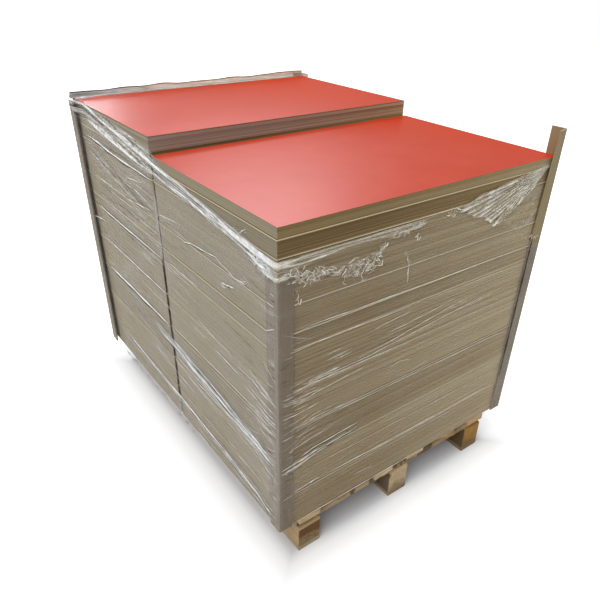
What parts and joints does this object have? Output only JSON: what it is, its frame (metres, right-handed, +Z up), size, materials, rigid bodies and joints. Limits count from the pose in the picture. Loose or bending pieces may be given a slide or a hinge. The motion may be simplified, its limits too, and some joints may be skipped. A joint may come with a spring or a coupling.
{
  "type": "palletised stack of hdf boards",
  "caption": "Two stacks of thin hardboard sheets with red coated faces, on a wooden pallet, held by corner guards and stretch film.",
  "frame": {"origin": "on the ground, under the middle of the whole outline", "axes": "+X along the long edges of the boards, to the right seen from the front; +Y from the lower front stack to the higher rear stack; +Z up"},
  "size_m": [1.0262, 1.3248, 1.184],
  "materials": {
    "red_coated_board": "satin coated face, raw fibre edge",
    "hdf_edge": "sawn raw fibre edge",
    "pallet_wood": "rough sawn softwood",
    "guard_board": "pressed grey brown board",
    "stretch_film": "clear glossy film with white creases"
  },
  "bodies": {
    "root": {"block_front_left": "pallet_wood", "block_front_middle": "pallet_wood", "block_front_right": "pallet_wood", "block_middle_left": "pallet_wood", "block_middle_middle": "pallet_wood", "block_middle_right": "pallet_wood", "block_rear_left": "pallet_wood", "block_rear_middle": "pallet_wood", "block_rear_right": "pallet_wood", "bottom_runner_left": "pallet_wood", "bottom_runner_middle": "pallet_wood", "bottom_runner_right": "pallet_wood", "corner_guard_front_left": "guard_board", "corner_guard_front_right": "guard_board", "corner_guard_rear_left": "guard_board", "corner_guard_rear_right": "guard_board", "deck_board_1": "pallet_wood", "deck_board_2": "pallet_wood", "deck_board_3": "pallet_wood", "deck_board_4": "pallet_wood", "deck_board_5": "pallet_wood", "deck_board_6": "pallet_wood", "front_board_pack_1": "hdf_edge", "front_board_pack_2": "hdf_edge", "front_board_pack_3": "hdf_edge", "front_board_pack_4": "hdf_edge", "front_board_pack_5": "hdf_edge", "front_board_pack_6": "hdf_edge", "front_board_pack_7": "hdf_edge", "front_board_pack_8": "hdf_edge", "front_top_board": "red_coated_board", "rear_board_pack_1": "hdf_edge", "rear_board_pack_2": "hdf_edge", "rear_board_pack_3": "hdf_edge", "rear_board_pack_4": "hdf_edge", "rear_board_pack_5": "hdf_edge", "rear_board_pack_6": "hdf_edge", "rear_board_pack_7": "hdf_edge", "rear_board_pack_8": "hdf_edge", "rear_top_board": "red_coated_board", "stretch_film": "stretch_film", "stringer_front": "pallet_wood", "stringer_middle": "pallet_wood", "stringer_rear": "pallet_wood"}
  },
  "joints": []
}
